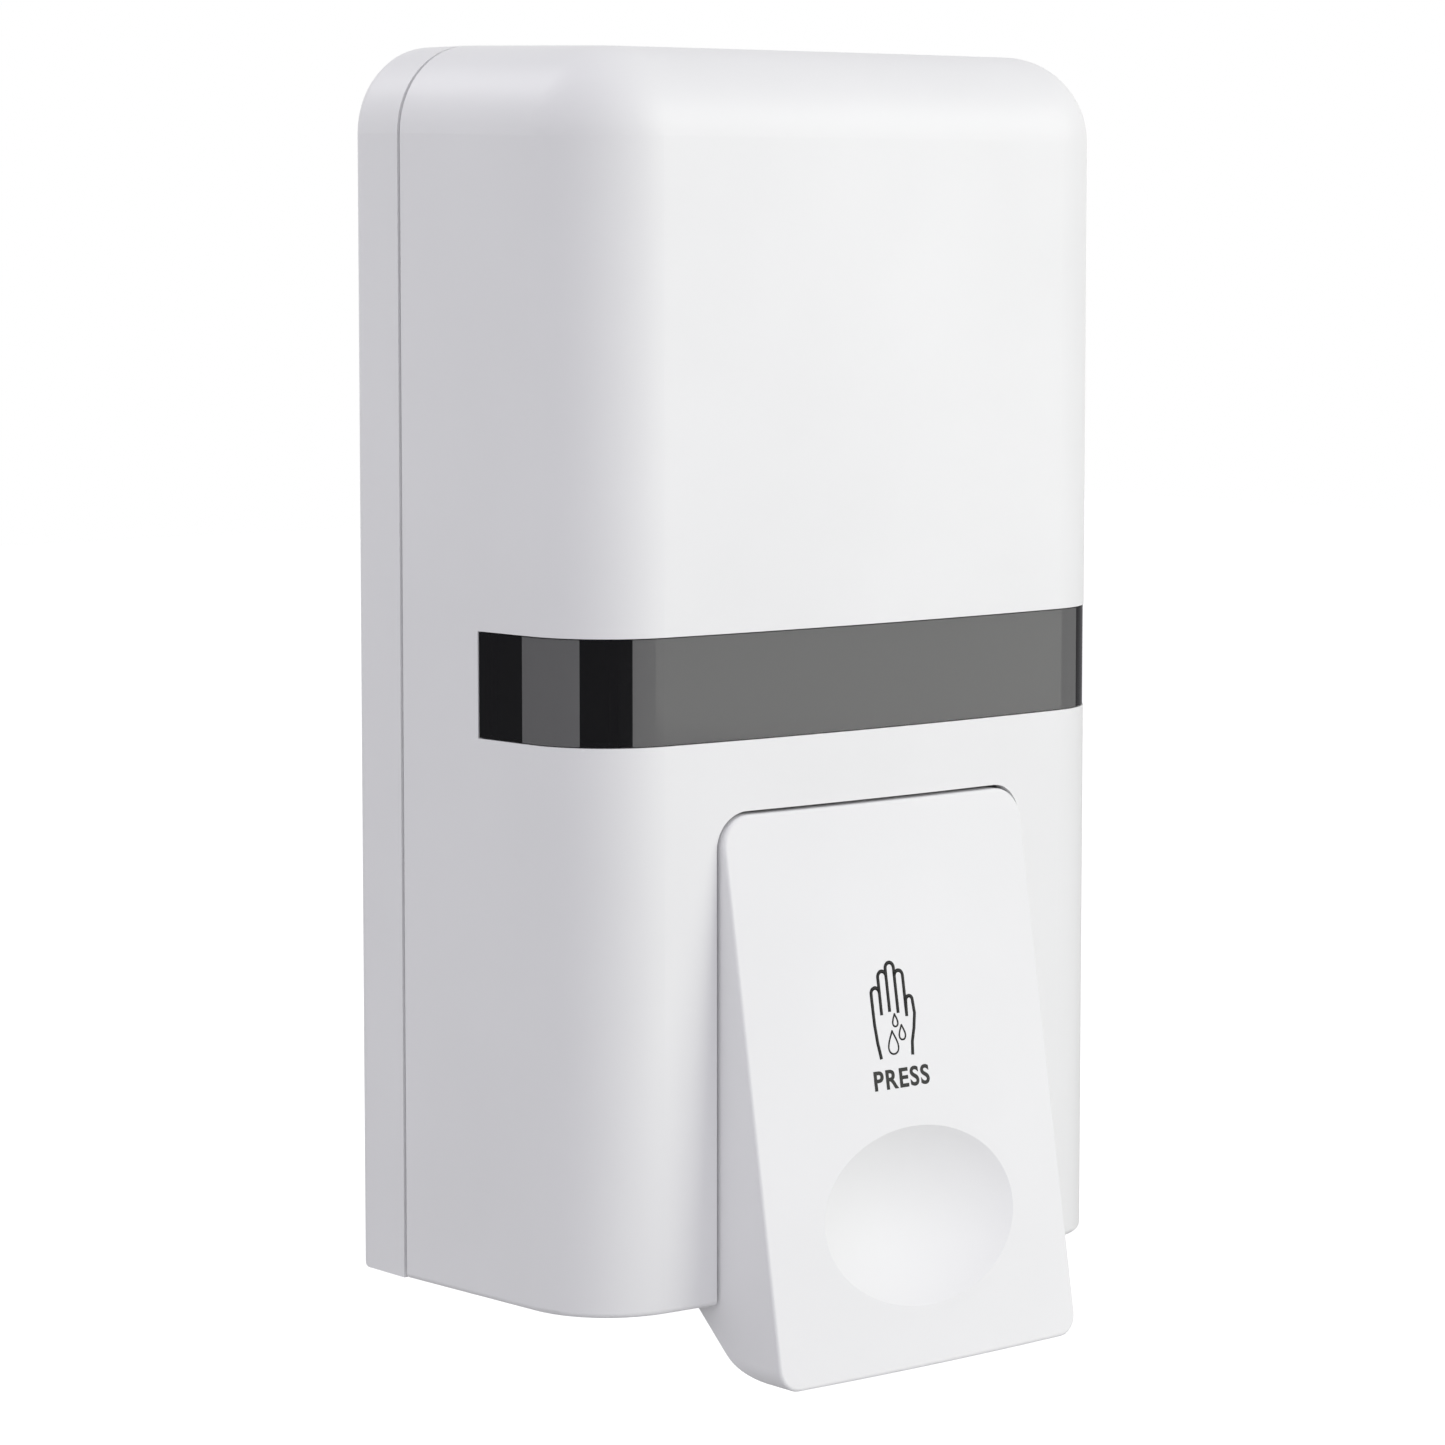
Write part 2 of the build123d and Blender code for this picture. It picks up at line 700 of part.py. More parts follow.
def make_pump_body():
    """Cylinder with a valved inlet above, an outlet below and a spigot behind."""
    pump = pump_bar((pump_rear_y, cylinder_front_y), cylinder_radius)
    pump += pump_bar((pump_rear_y, pump_rear_y + spigot_length), spigot_radius)
    pump += upright(port_y, (plunger_z, flange_top_z), inlet_radius)
    pump += upright(port_y, (flange_bottom_z, flange_top_z), neck_radius)
    pump += upright(port_y, (plunger_z, outlet_end_z), outlet_radius)
    pump -= pump_bar((chamber_end_y, cylinder_front_y - through), bore_radius)
    pump -= upright(port_y, (web_top_z, flange_top_z + through), inlet_bore)
    pump -= upright(port_y, (inlet_floor_z, web_bottom_z), inlet_bore)
    pump -= upright(port_y, (plunger_z, inlet_floor_z + through), port_radius)
    pump -= upright(port_y, (plunger_z, outlet_end_z - through), outlet_bore)
    pump -= upright(port_y, (web_bottom_z - through, web_top_z + through), stem_radius + held_fit)
    for hole in range(flow_holes):
        angle = 2 * math.pi * hole / flow_holes
        x = flow_hole_pitch * math.cos(angle)
        y = port_y + flow_hole_pitch * math.sin(angle)
        pump -= rod((x, y, web_bottom_z - through), (x, y, web_top_z + through), flow_hole_radius)
    return pump


def make_pump_cap():
    """Screwed cap with a guide hole for the plunger's rod."""
    cap_radius = cylinder_radius + thread_fit + cap_wall
    cap = pump_bar((cap_front_y, cylinder_front_y + cap_skirt), cap_radius)
    cap -= pump_bar((cylinder_front_y, cylinder_front_y + cap_skirt + through), cylinder_radius + thread_fit)
    return cap - pump_bar((cap_front_y - through, cylinder_front_y + through),
                          plunger_rod_radius + running_fit)


def make_inlet_valve():
    """Rubber disc under the web, with a stem through it and a bulb above."""
    valve = upright(port_y, (web_bottom_z - umbrella_thickness, web_bottom_z), umbrella_radius)
    valve += upright(port_y, (web_bottom_z - umbrella_thickness, web_top_z + bulb_height), stem_radius)
    bulb = Cone(bulb_radius, stem_radius, bulb_height, align=(Align.CENTER, Align.CENTER, Align.MIN))
    return valve + Pos(0, port_y, web_top_z) * bulb


def duckbill_wedge(radius, lip):
    """Round bar that narrows to a thin lip, as one half of a duckbill's shape."""
    bar = upright(port_y, (duckbill_tip_z, duckbill_seat_z), radius)
    return bar & side_prism([(port_y - radius, duckbill_seat_z), (port_y - lip, duckbill_tip_z),
                             (port_y + lip, duckbill_tip_z), (port_y + radius, duckbill_seat_z)], radius)


def make_outlet_valve():
    """Duckbill that hangs from a flange and shuts when the pump rests."""
    bore = duckbill_radius - duckbill_wall
    valve = upright(port_y, (duckbill_seat_z, outlet_end_z), duckbill_flange)
    valve += duckbill_wedge(duckbill_radius, duckbill_lip)
    valve -= upright(port_y, (duckbill_seat_z, outlet_end_z), bore)
    return valve - duckbill_wedge(bore, duckbill_slit)


def make_nozzle():
    """Screwed tip that clamps the duckbill and lets the soap out."""
    outer = outlet_radius + thread_fit + nozzle_wall
    nozzle = upright(port_y, (nozzle_bottom_z, nozzle_top_z), outer)
    tip_edge = nozzle.edges().group_by(Axis.Z)[0]
    nozzle = nozzle.chamfer(nozzle_chamfer, None, tip_edge)
    nozzle -= upright(port_y, (duckbill_seat_z, nozzle_top_z + through), outlet_radius + thread_fit)
    nozzle -= upright(port_y, (nozzle_bottom_z + nozzle_floor, duckbill_seat_z + through),
                      duckbill_radius + nozzle_clearance)
    return nozzle - upright(port_y, (nozzle_bottom_z - through, nozzle_top_z), nozzle_hole)


def make_outlet_gasket():
    """Flat ring between the tank's neck and the pump's flange."""
    ring = upright(port_y, (flange_top_z, neck_end_z), neck_radius)
    return ring - upright(port_y, (flange_top_z - through, neck_end_z + through), neck_bore)


def make_union_nut():
    """Fluted nut that draws the pump's flange up to the neck."""
    nut_radius = neck_radius + thread_fit + nut_wall
    nut = upright(port_y, (nut_bottom_z, nut_top_z), nut_radius)
    nut -= upright(port_y, (flange_bottom_z, nut_top_z + through), neck_radius + thread_fit)
    nut -= upright(port_y, (nut_bottom_z - through, nut_top_z), inlet_radius + thread_fit)
    for flute in range(nut_flutes):
        angle = 2 * math.pi * flute / nut_flutes
        x = nut_radius * math.cos(angle)
        y = port_y + nut_radius * math.sin(angle)
        nut -= rod((x, y, nut_bottom_z - through), (x, y, nut_top_z + through), nut_flute_radius)
    return nut


def tank_plan(inset):
    """Outline of the tank seen from above."""
    half = tank_half - inset
    rear, front = tank_rear_y - inset, tank_front_y + inset
    plan = Polygon((-half, front), (half, front), (half, rear), (-half, rear), align=None)
    plan = fillet(plan.vertices().group_by(Axis.Y)[0], tank_front_corner - inset)
    return fillet(plan.vertices().group_by(Axis.Y)[-1], tank_rear_corner - inset)


def mouth_bar(extra, z_range):
    """Upright bar with the fill mouth's outline, made wider by extra on every side."""
    outline = RectangleRounded(mouth_length + 2 * extra, mouth_width + 2 * extra, mouth_corner + extra)
    return extrude(Pos(0, mouth_y, z_range[0]) * outline, z_range[1] - z_range[0])


def make_tank():
    """Thin walled tank with a raised fill mouth and a neck under its floor."""
    tank = extrude(Pos(0, 0, shelf_z) * tank_plan(0), tank_top_z - shelf_z, dir=(0, 0, 1))
    tank = tank.fillet(tank_edge, tank.faces().sort_by(Axis.Z)[-1].edges())
    tank += mouth_bar(mouth_wall, (tank_top_z - tank_wall, rim_top_z))
    tank += upright(port_y, (neck_end_z, shelf_z + tank_wall), neck_radius)
    room = extrude(Pos(0, 0, shelf_z + tank_wall) * tank_plan(tank_wall),
                   tank_top_z - shelf_z - 2 * tank_wall, dir=(0, 0, 1))
    tank -= room
    tank -= mouth_bar(0, (tank_top_z - 2 * tank_wall, rim_top_z + through))
    return tank - upright(port_y, (neck_end_z - through, shelf_z + 2 * tank_wall), neck_bore)


def make_lid_gasket():
    """Flat seal on the rim of the fill mouth."""
    seal = mouth_bar(mouth_wall, (rim_top_z, lid_under_z))
    return seal - mouth_bar(0, (rim_top_z - through, lid_under_z + through))


def make_tank_lid():
    """Lid whose skirt snaps over the rim, with a tab to lift it by."""
    skirt_z = lid_under_z - lid_skirt
    outer = mouth_wall + lid_fit + lid_wall
    lid = mouth_bar(outer, (skirt_z, lid_top_z))
    lid -= mouth_bar(mouth_wall + lid_fit, (skirt_z - through, lid_under_z))
    tab_y = mouth_y - mouth_width / 2
    lid += block((-lid_tab_width / 2, lid_tab_width / 2), (tab_y, tab_y - outer - lid_tab_length),
                 (lid_under_z, lid_top_z))
    return lid


def make_lock_barrel():
    """Key barrel with a flange in the top, a key slot and a square lower end."""
    half = cam_square / 2
    barrel = upright(lock_y, (top_z - barrel_flange_thickness, top_z), barrel_flange)
    barrel += upright(lock_y, (cam_top_z, top_z), barrel_radius)
    barrel += block((-half, half), (lock_y - half, lock_y + half), (cam_bottom_z, lock_boss_z))
    barrel -= block((-key_slot_length / 2, key_slot_length / 2),
                    (lock_y - key_slot_width / 2, lock_y + key_slot_width / 2),
                    (top_z - key_slot_depth, top_z + through))
    return barrel - upright(lock_y, (cam_bottom_z - through, cam_bottom_z + lock_screw_length),
                            lock_screw_radius + held_fit)


def make_lock_cam():
    """Tongue that points sideways when unlocked and turns forward to hook the catch."""
    half = cam_square / 2 + held_fit
    across = (lock_y - cam_width / 2, lock_y + cam_width / 2)
    cam = block((0, cam_reach), across, (cam_bottom_z, cam_top_z))
    cam += upright(lock_y, (cam_bottom_z, cam_top_z), barrel_flange)
    cam += block((cam_reach - hook_depth, cam_reach), across, (cam_bottom_z, cam_top_z + hook_height))
    cam -= block((-half, half), (lock_y - half, lock_y + half), (cam_bottom_z - through, cam_top_z + through))
    return cam


def make_lock_washer():
    """Washer between the tongue and its screw."""
    washer = upright(lock_y, (washer_bottom_z, cam_bottom_z), lock_washer_radius)
    return washer - upright(lock_y, (washer_bottom_z - through, cam_bottom_z + through),
                            lock_screw_radius + running_fit)


def make_lock_screw():
    """Screw that holds the tongue on the barrel."""
    head_z = washer_bottom_z - lock_screw_head_height
    screw = upright(lock_y, (head_z, washer_bottom_z), lock_screw_head)
    return screw + upright(lock_y, (head_z, cam_bottom_z + lock_screw_length - held_fit), lock_screw_radius)


pieces = {
    "back_plate": make_back_plate,
    "hinge_pins": make_hinge_pins,
    "tank": make_tank,
    "lid_gasket": make_lid_gasket,
    "tank_lid": make_tank_lid,
    "outlet_gasket": make_outlet_gasket,
    "union_nut": make_union_nut,
    "pump_body": make_pump_body,
    "inlet_valve": make_inlet_valve,
    "return_spring": make_return_spring,
    "plunger": make_plunger,
    "plunger_seal": make_plunger_seal,
    "pump_cap": make_pump_cap,
    "outlet_valve": make_outlet_valve,
    "nozzle": make_nozzle,
    "front_cover": make_front_cover,
    "sight_window": make_sight_window,
    "lever_pin": make_lever_pin,
    "push_lever": make_push_lever,
    "lock_barrel": make_lock_barrel,
    "lock_cam": make_lock_cam,
    "lock_washer": make_lock_washer,
    "lock_screw": make_lock_screw,
}

os.makedirs("parts", exist_ok=True)
for name, make in pieces.items():
    export_step(make(), f"parts/{name}.step")
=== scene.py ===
import math

import bmesh
import bpy
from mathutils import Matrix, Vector


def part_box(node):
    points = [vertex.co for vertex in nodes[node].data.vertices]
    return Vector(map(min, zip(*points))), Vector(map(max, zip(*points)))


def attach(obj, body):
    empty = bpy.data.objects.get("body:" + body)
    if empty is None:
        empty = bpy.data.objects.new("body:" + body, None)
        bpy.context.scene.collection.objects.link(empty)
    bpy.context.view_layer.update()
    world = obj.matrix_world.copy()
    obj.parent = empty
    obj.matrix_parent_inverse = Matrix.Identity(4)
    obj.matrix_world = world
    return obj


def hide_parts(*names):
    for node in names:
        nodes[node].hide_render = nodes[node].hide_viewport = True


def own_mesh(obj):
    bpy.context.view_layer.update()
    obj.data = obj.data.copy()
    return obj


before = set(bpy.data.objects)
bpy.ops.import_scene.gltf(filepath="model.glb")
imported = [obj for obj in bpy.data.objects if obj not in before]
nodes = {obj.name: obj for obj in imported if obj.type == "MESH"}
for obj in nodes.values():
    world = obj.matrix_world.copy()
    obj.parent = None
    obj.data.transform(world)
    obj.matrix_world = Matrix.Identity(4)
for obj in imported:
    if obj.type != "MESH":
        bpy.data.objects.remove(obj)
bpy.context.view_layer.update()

# Back plate
# The rear shell that is screwed to the wall and carries everything else. It is injection
# moulded in white ABS; the mould's spark-eroded skin leaves a fine grain and a soft sheen.


def colour(code):
    """Linear colour of an sRGB hex code."""
    linear = []
    for start in (0, 2, 4):
        share = int(code[start:start + 2], 16) / 255
        linear.append(share / 12.92 if share <= 0.04045 else ((share + 0.055) / 1.055) ** 2.4)
    return (*linear, 1.0)


def add_node(tree, kind, settings, links=None):
    """New node with its settings and links.

    A setting names an input socket, a colour ramp's stops or else a property. A link names a socket
    and gives an output, or a node for its first output. Sockets that share a name go by number.
    """
    node = tree.nodes.new(kind)
    for name, value in settings.items():
        if name == "stops":
            for element, (position, code) in zip(node.color_ramp.elements, value):
                element.position = position
                element.color = colour(code)
        elif isinstance(name, int) or name in node.inputs:
            node.inputs[name].default_value = value
        else:
            setattr(node, name, value)
    for name, source in (links or {}).items():
        output = source.outputs[0] if isinstance(source, bpy.types.Node) else source
        tree.links.new(output, node.inputs[name])
    return node


def new_material(name):
    """Material with an empty node tree, and the object's own coordinates in metres."""
    material = bpy.data.materials.new(name)
    material.use_nodes = True
    tree = material.node_tree
    tree.nodes.clear()
    place = add_node(tree, "ShaderNodeTexCoord", {}).outputs["Object"]
    return material, tree, place


def surface(name, tone, grain, dark, light, roughness, relief_mm, settings):
    """Material whose tone follows one random pattern, and its sheen and relief a second one.

    A pattern is the size of its blobs along x, y and z in mm, and its detail. Tone and sheen run
    over the middle half of their pattern.
    """
    material, tree, place = new_material(name)
    patterns = []
    for *sizes_mm, detail in (tone, grain):
        scale = [1000 / size for size in sizes_mm]
        sized = add_node(tree, "ShaderNodeMapping", {"Scale": scale}, {"Vector": place})
        patterns.append(add_node(tree, "ShaderNodeTexNoise",
                                 {"Scale": 1.0, "Detail": detail, "Roughness": 0.5}, {"Vector": sized}))
    drift, skin = patterns
    tint = add_node(tree, "ShaderNodeValToRGB", {"stops": ((0.25, dark), (0.75, light))}, {"Fac": drift})
    sheen = add_node(tree, "ShaderNodeMapRange",
                     {"From Min": 0.25, "From Max": 0.75, "To Min": roughness[0], "To Max": roughness[1]},
                     {"Value": skin})
    links = {"Base Color": tint, "Roughness": sheen}
    if relief_mm:
        links["Normal"] = add_node(tree, "ShaderNodeBump",
                                   {"Strength": 1.0, "Distance": relief_mm / 1000}, {"Height": skin})
    shader = add_node(tree, "ShaderNodeBsdfPrincipled", settings, links)
    add_node(tree, "ShaderNodeOutputMaterial", {}, {"Surface": shader})
    return material


def dress(material, *names):
    """Gives CAD nodes a finished material."""
    for name in names:
        slots = nodes[name].data.materials
        slots.clear()
        slots.append(material)


# The real grain of the moulded pieces is about 0.1 mm. It is drawn at 0.5 to 1.5 mm, so that it
# holds at this distance. The tone drifts slowly, as it does where the melt has flowed.
slow_drift = (45, 45, 45, 2)
case_plastic = surface("abs_white_moulded_satin", slow_drift, (0.7, 0.7, 0.7, 2), "EFEFF0", "F3F3F4",
                       roughness=(0.38, 0.46), relief_mm=0.004, settings={"IOR": 1.53})
dress(case_plastic, "back_plate")

# Hinge pins and lever pin
# Pins cut from drawn stainless steel rod and pressed into moulded bosses. Drawing leaves
# fine lines along the rod, which here lies from left to right.


def worked_metal(name, lines, dark, light, roughness):
    """Metal with the fine lines that drawing, rolling or turning leaves."""
    return surface(name, lines, lines, dark, light, roughness, relief_mm=0.01, settings={"Metallic": 1.0})


# The real lines are a few hundredths of a millimetre wide and are drawn at 0.5 mm to show.
rod_steel = worked_metal("stainless_drawn_rod", (10, 0.5, 0.5, 4), "B4B3B0", "CFCECB", (0.22, 0.38))
dress(rod_steel, "hinge_pins", "lever_pin")

# Soap tank
# Blow moulded in unpigmented polypropylene, so it is milky, lets some light through and has
# upright flow streaks. It sits on the back plate's shelf and is lifted out to be washed.
tank_plastic = surface("polypropylene_milky_blow_moulded", (9, 9, 60, 3), (1.2, 1.2, 1.2, 2),
                       "E4E6E4", "EDEEEC", roughness=(0.34, 0.46), relief_mm=0.01,
                       settings={"IOR": 1.49, "Subsurface Weight": 0.25, "Subsurface Scale": 0.004,
                                 "Subsurface Radius": (1.0, 1.0, 0.9)})
dress(tank_plastic, "tank")

# Pump and lid
# Small pieces moulded in natural white polypropylene: the lid, the nut that draws the
# pump up to the tank, the cylinder, its cap, the plunger and the screwed nozzle.
pump_plastic = surface("polypropylene_white_moulded", slow_drift, (0.9, 0.9, 0.9, 2), "E7E8E6", "F0F0EE",
                       roughness=(0.32, 0.40), relief_mm=0.006, settings={"IOR": 1.53})
dress(pump_plastic, "tank_lid", "union_nut", "pump_body", "pump_cap", "plunger", "nozzle")

# Valves and gaskets
# The flap valves and flat gaskets are cast in clear-white silicone, which is soft and a
# little tacky, so it shows a dull sheen.
silicone = surface("silicone_translucent_cast", slow_drift, (1.5, 1.5, 1.5, 2), "D3D6D6", "E2E4E3",
                   roughness=(0.48, 0.56), relief_mm=0.01,
                   settings={"IOR": 1.53, "Specular IOR Level": 0.35})
dress(silicone, "inlet_valve", "outlet_valve", "lid_gasket", "outlet_gasket")

# Plunger seal
# A ring of black nitrile rubber in the piston's groove, moulded and trimmed by tumbling,
# which leaves it dull with faint grey bloom.
rubber = surface("nitrile_rubber_tumbled", slow_drift, (0.8, 0.8, 0.8, 2), "141414", "242424",
                 roughness=(0.58, 0.66), relief_mm=0.01,
                 settings={"IOR": 1.53, "Specular IOR Level": 0.4})
dress(rubber, "plunger_seal")

# Return spring
# Cold coiled stainless wire that pushes the plunger and the lever out again. Its drawn skin is
# a little darker and glossier than the pins.
weld_distance = 1e-6
spring_steel = worked_metal("stainless_spring_wire", (0.5, 0.5, 0.5, 4), "8F8E8B", "B5B4B0", (0.18, 0.34))
coil_mesh = nodes["return_spring"].data.copy()
coil_mesh.name = "spring_coil"
coil_mesh.materials.clear()
coil_mesh.materials.append(spring_steel)
welded = bmesh.new()
welded.from_mesh(coil_mesh)
bmesh.ops.remove_doubles(welded, verts=welded.verts, dist=weld_distance)
welded.to_mesh(coil_mesh)
welded.free()
coil = bpy.data.objects.new("spring_coil", coil_mesh)
bpy.context.scene.collection.objects.link(coil)
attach(coil, "base")
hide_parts("return_spring")
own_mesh(coil)

# Lock
# The key barrel is turned brass with bright nickel plating, which keeps the turning lines.
# The tongue and washer are punched from steel sheet, zinc plated like the screw.
turning_lines = (0.5, 0.5, 0.5 / 6, 4)
rolling_lines = (0.5 / 0.3, 0.5, 0.5, 4)
barrel_plating = worked_metal("nickel_plated_turned_brass", turning_lines, "BDB8AE", "D6D2C9", (0.12, 0.28))
dress(barrel_plating, "lock_barrel")
sheet_steel = worked_metal("steel_punched_zinc_plated", rolling_lines, "A9ACB0", "C6C9CC", (0.28, 0.44))
dress(sheet_steel, "lock_cam", "lock_washer", "lock_screw")

# Front cover
# The deep shell that tips forward on the hinge pins. It is the same white ABS as the back
# plate and comes from a mould with the same skin.
dress(case_plastic, "front_cover")

# Sight window
# One band of smoked polycarbonate, bent round the front and both sides and clipped in from behind.
# It is glossy and half clear. Its outer skin carries painted shade: black at the side ends and corners, for
# the dark, unlit inside seen through it.
window_clear = "929292"
painted_shade_black = "232325"
haze_mm = 6

# Where painted shade is laid on, in metres: from here to the band's end on the sides, and between these two
# lines at the corners. Only the outer skin is blackened.
painted_shade_start_y = -0.0489
corner_inner_x, corner_outer_x = 0.0540, 0.0612
outer_side_x = 0.063
outer_corner_reach = 0.1205

material, tree, place = new_material("polycarbonate_smoked_glossy")
axes = add_node(tree, "ShaderNodeSeparateXYZ", {}, {"Vector": place}).outputs
values = {"X": axes["X"], "Y": axes["Y"]}
for result, operation, first, second in (("side", "ABSOLUTE", "X", 0),
                                         ("past start", "GREATER_THAN", "Y", painted_shade_start_y),
                                         ("on side", "GREATER_THAN", "side", outer_side_x),
                                         ("end painted shade", "MULTIPLY", "past start", "on side"),
                                         ("reach", "SUBTRACT", "side", "Y"),
                                         ("on corner", "GREATER_THAN", "reach", outer_corner_reach),
                                         ("past inner", "GREATER_THAN", "side", corner_inner_x),
                                         ("before outer", "LESS_THAN", "side", corner_outer_x),
                                         ("corner band", "MULTIPLY", "past inner", "before outer"),
                                         ("corner painted shade", "MULTIPLY", "corner band", "on corner"),
                                         ("painted shade", "MAXIMUM", "end painted shade", "corner painted shade")):
    settings, links = {"operation": operation}, {0: values[first]}
    if second in values:
        links[1] = values[second]
    else:
        settings[1] = second
    values[result] = add_node(tree, "ShaderNodeMath", settings, links)
# The ramp runs from the smoked tint to painted shade: black where the mask is set, for the dark inside
# behind the band.
smoke_and_painted_shade = add_node(tree, "ShaderNodeValToRGB", {"stops": ((0, window_clear), (1, painted_shade_black))},
                 {"Fac": values["painted shade"]})
haze = add_node(tree, "ShaderNodeTexNoise", {"Scale": 1000 / haze_mm, "Detail": 2.0, "Roughness": 0.5},
                {"Vector": place})
gloss = add_node(tree, "ShaderNodeMapRange",
                 {"From Min": 0.25, "From Max": 0.75, "To Min": 0.02, "To Max": 0.05}, {"Value": haze})
# Polycarbonate's index of 1.58 would mirror more of the white surround than the object does.
window_shader = add_node(tree, "ShaderNodeBsdfPrincipled", {"Transmission Weight": 0.5, "IOR": 1.2},
                         {"Base Color": smoke_and_painted_shade, "Roughness": gloss})
add_node(tree, "ShaderNodeOutputMaterial", {}, {"Surface": window_shader})
dress(material, "sight_window")

# Push lever
# The pressed lever is moulded in the same white ABS as the case. It has its own mould, whose
# finer etched skin leaves the broad face more matt. It hangs on the lever pin.
lever_plastic = surface("abs_white_moulded_fine", slow_drift, (0.5, 0.5, 0.5, 2), "F1F1F2", "F5F5F6",
                        roughness=(0.51, 0.59), relief_mm=0.003,
                        settings={"IOR": 1.53, "Specular IOR Level": 0.25})
dress(lever_plastic, "push_lever")

# Mark on the lever
# A pad-printed sign in black ink: an open hand with soap drops, and a plain word under it.
# The ink lies as a film on the bowed face and follows it.

# Sizes in millimetres: x from the middle of the lever, heights from the bottom of the body.
ink_film = 0.06
hand_stroke = 0.66
drop_stroke = 0.32
arc_steps = 12
drop_steps = 32
finger_lines = (-6.55, -4.55, -2.55, -0.55, 1.45)
finger_springs = (54.4, 57.2, 58.6, 57.0)
finger_roots = (50.4, 50.8, 50.4)
last_root = 50.2
left_edge = [(-5.7, 42.6), (-6.2, 45.5), (-6.5, 49.0)]
thumb_side = [(1.45, 49.6), (1.55, 51.6)]
thumb_tip = (1.6, 3.2, 52.4)
right_edge = [(3.4, 50.0), (2.9, 47.4), (2.15, 45.0), (1.9, 42.6)]
drops = ((-2.5, 45.3, 2.7, 4.2), (-0.1, 46.9, 1.7, 2.7), (-1.5, 49.2, 1.4, 2.3))
word_box = ((-8.0, 37.0), (5.4, 40.6))

# In metres: the body reaches as far below the origin as the back plate's top is above it.
body_bottom = -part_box("back_plate")[1][2]
film_lift = ink_film / 3000


def arc(left, right, height):
    """Points of a half circle that springs from two upright lines at one height."""
    middle, radius = (left + right) / 2, (right - left) / 2
    turns = [math.pi * (1 - step / arc_steps) for step in range(arc_steps + 1)]
    return [(middle + radius * math.cos(turn), height + radius * math.sin(turn)) for turn in turns]


def drop_outline(x, y, width, height):
    """Points round a drop with its tip up."""
    bulge = width / 1.6
    taper = 1.5
    points = []
    for step in range(drop_steps):
        turn = 2 * math.pi * step / drop_steps
        points.append((x + bulge * math.sin(turn) * math.sin(turn / 2) ** taper,
                       y + height / 2 * math.cos(turn)))
    return points


hand_lines = [left_edge + arc(*finger_lines[0:2], finger_springs[0])]
for index, root in enumerate(finger_roots, start=1):
    foot = (finger_lines[index], root)
    hand_lines.append([foot] + arc(*finger_lines[index:index + 2], finger_springs[index]))
# The longest finger comes down to its neighbour's tip, and the last one to its own root.
hand_lines[2].append((finger_lines[3], finger_springs[3]))
hand_lines[3].append((finger_lines[4], last_root))
hand_lines.append(thumb_side + arc(*thumb_tip) + right_edge)
drop_lines = [drop_outline(*drop) for drop in drops]


def stroke_tree(name):
    """Geometry nodes that lay a flat film of ink along the curves they are given."""
    group = bpy.data.node_groups.new(name, "GeometryNodeTree")
    group.interface.new_socket("Lines", in_out="INPUT", socket_type="NodeSocketGeometry")
    width = group.interface.new_socket("Width", in_out="INPUT", socket_type="NodeSocketFloat")
    film = group.interface.new_socket("Film", in_out="INPUT", socket_type="NodeSocketFloat")
    ink = group.interface.new_socket("Ink", in_out="INPUT", socket_type="NodeSocketMaterial")
    group.interface.new_socket("Strokes", in_out="OUTPUT", socket_type="NodeSocketGeometry")
    given = add_node(group, "NodeGroupInput", {}).outputs
    upright = add_node(group, "GeometryNodeSetCurveNormal", {"mode": "Z_UP"}, {"Curve": given["Lines"]})
    section = add_node(group, "GeometryNodeCurvePrimitiveQuadrilateral", {"mode": "RECTANGLE"},
                       {"Width": given["Width"], "Height": given["Film"]})
    swept = add_node(group, "GeometryNodeCurveToMesh", {"Fill Caps": True},
                     {"Curve": upright, "Profile Curve": section})
    real = add_node(group, "GeometryNodeRealizeInstances", {}, {"Geometry": swept})
    inked = add_node(group, "GeometryNodeSetMaterial", {}, {"Geometry": real, "Material": given["Ink"]})
    add_node(group, "NodeGroupOutput", {}, {"Strokes": inked})
    return group, (width.identifier, film.identifier, ink.identifier)


def plain_mesh(source, name):
    """Plain mesh of an object as it is evaluated; the source object is removed."""
    bpy.context.view_layer.update()
    depsgraph = bpy.context.evaluated_depsgraph_get()
    mesh = bpy.data.meshes.new_from_object(source.evaluated_get(depsgraph))
    bpy.data.objects.remove(source)
    mesh.name = name
    return mesh


def lay_on_lever(mesh, name, material):
    """Wraps a flat mesh in millimetres on to the lever's face and lets it ride there."""
    lever = nodes["push_lever"]
    for vertex in mesh.vertices:
        x, height, film = vertex.co / 1000
        start = Vector((x, -1, body_bottom + height))
        _, spot, normal, _ = lever.ray_cast(start, Vector((0, 1, 0)))
        vertex.co = spot + normal * (film + film_lift)
    mesh.materials.clear()
    mesh.materials.append(material)
    piece = bpy.data.objects.new(name, mesh)
    bpy.context.scene.collection.objects.link(piece)
    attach(piece, "lever")


ink_spread = (0.8, 0.8, 0.8, 2)
ink_black = surface("ink_black_pad_printed", ink_spread, ink_spread, "060606", "101011",
                    roughness=(0.38, 0.5), relief_mm=0, settings={"IOR": 1.5, "Specular IOR Level": 0.3})

stroke_group, stroke_inputs = stroke_tree("ink_strokes")
for name, lines, width, closed in (("mark_hand", hand_lines, hand_stroke, False),
                                   ("mark_drops", drop_lines, drop_stroke, True)):
    curve = bpy.data.curves.new(name, "CURVE")
    curve.dimensions = "3D"
    for line in lines:
        spline = curve.splines.new("POLY")
        spline.points.add(len(line) - 1)
        spline.use_cyclic_u = closed
        for point, (x, y) in zip(spline.points, line):
            point.co = (x, y, 0, 1)
    sketch = bpy.data.objects.new(name + "_sketch", curve)
    bpy.context.scene.collection.objects.link(sketch)
    strokes = sketch.modifiers.new("strokes", "NODES")
    for identifier, value in zip(stroke_inputs, (width, ink_film, ink_black)):
        strokes[identifier] = value
    strokes.node_group = stroke_group
    lay_on_lever(plain_mesh(sketch, name), name, ink_black)

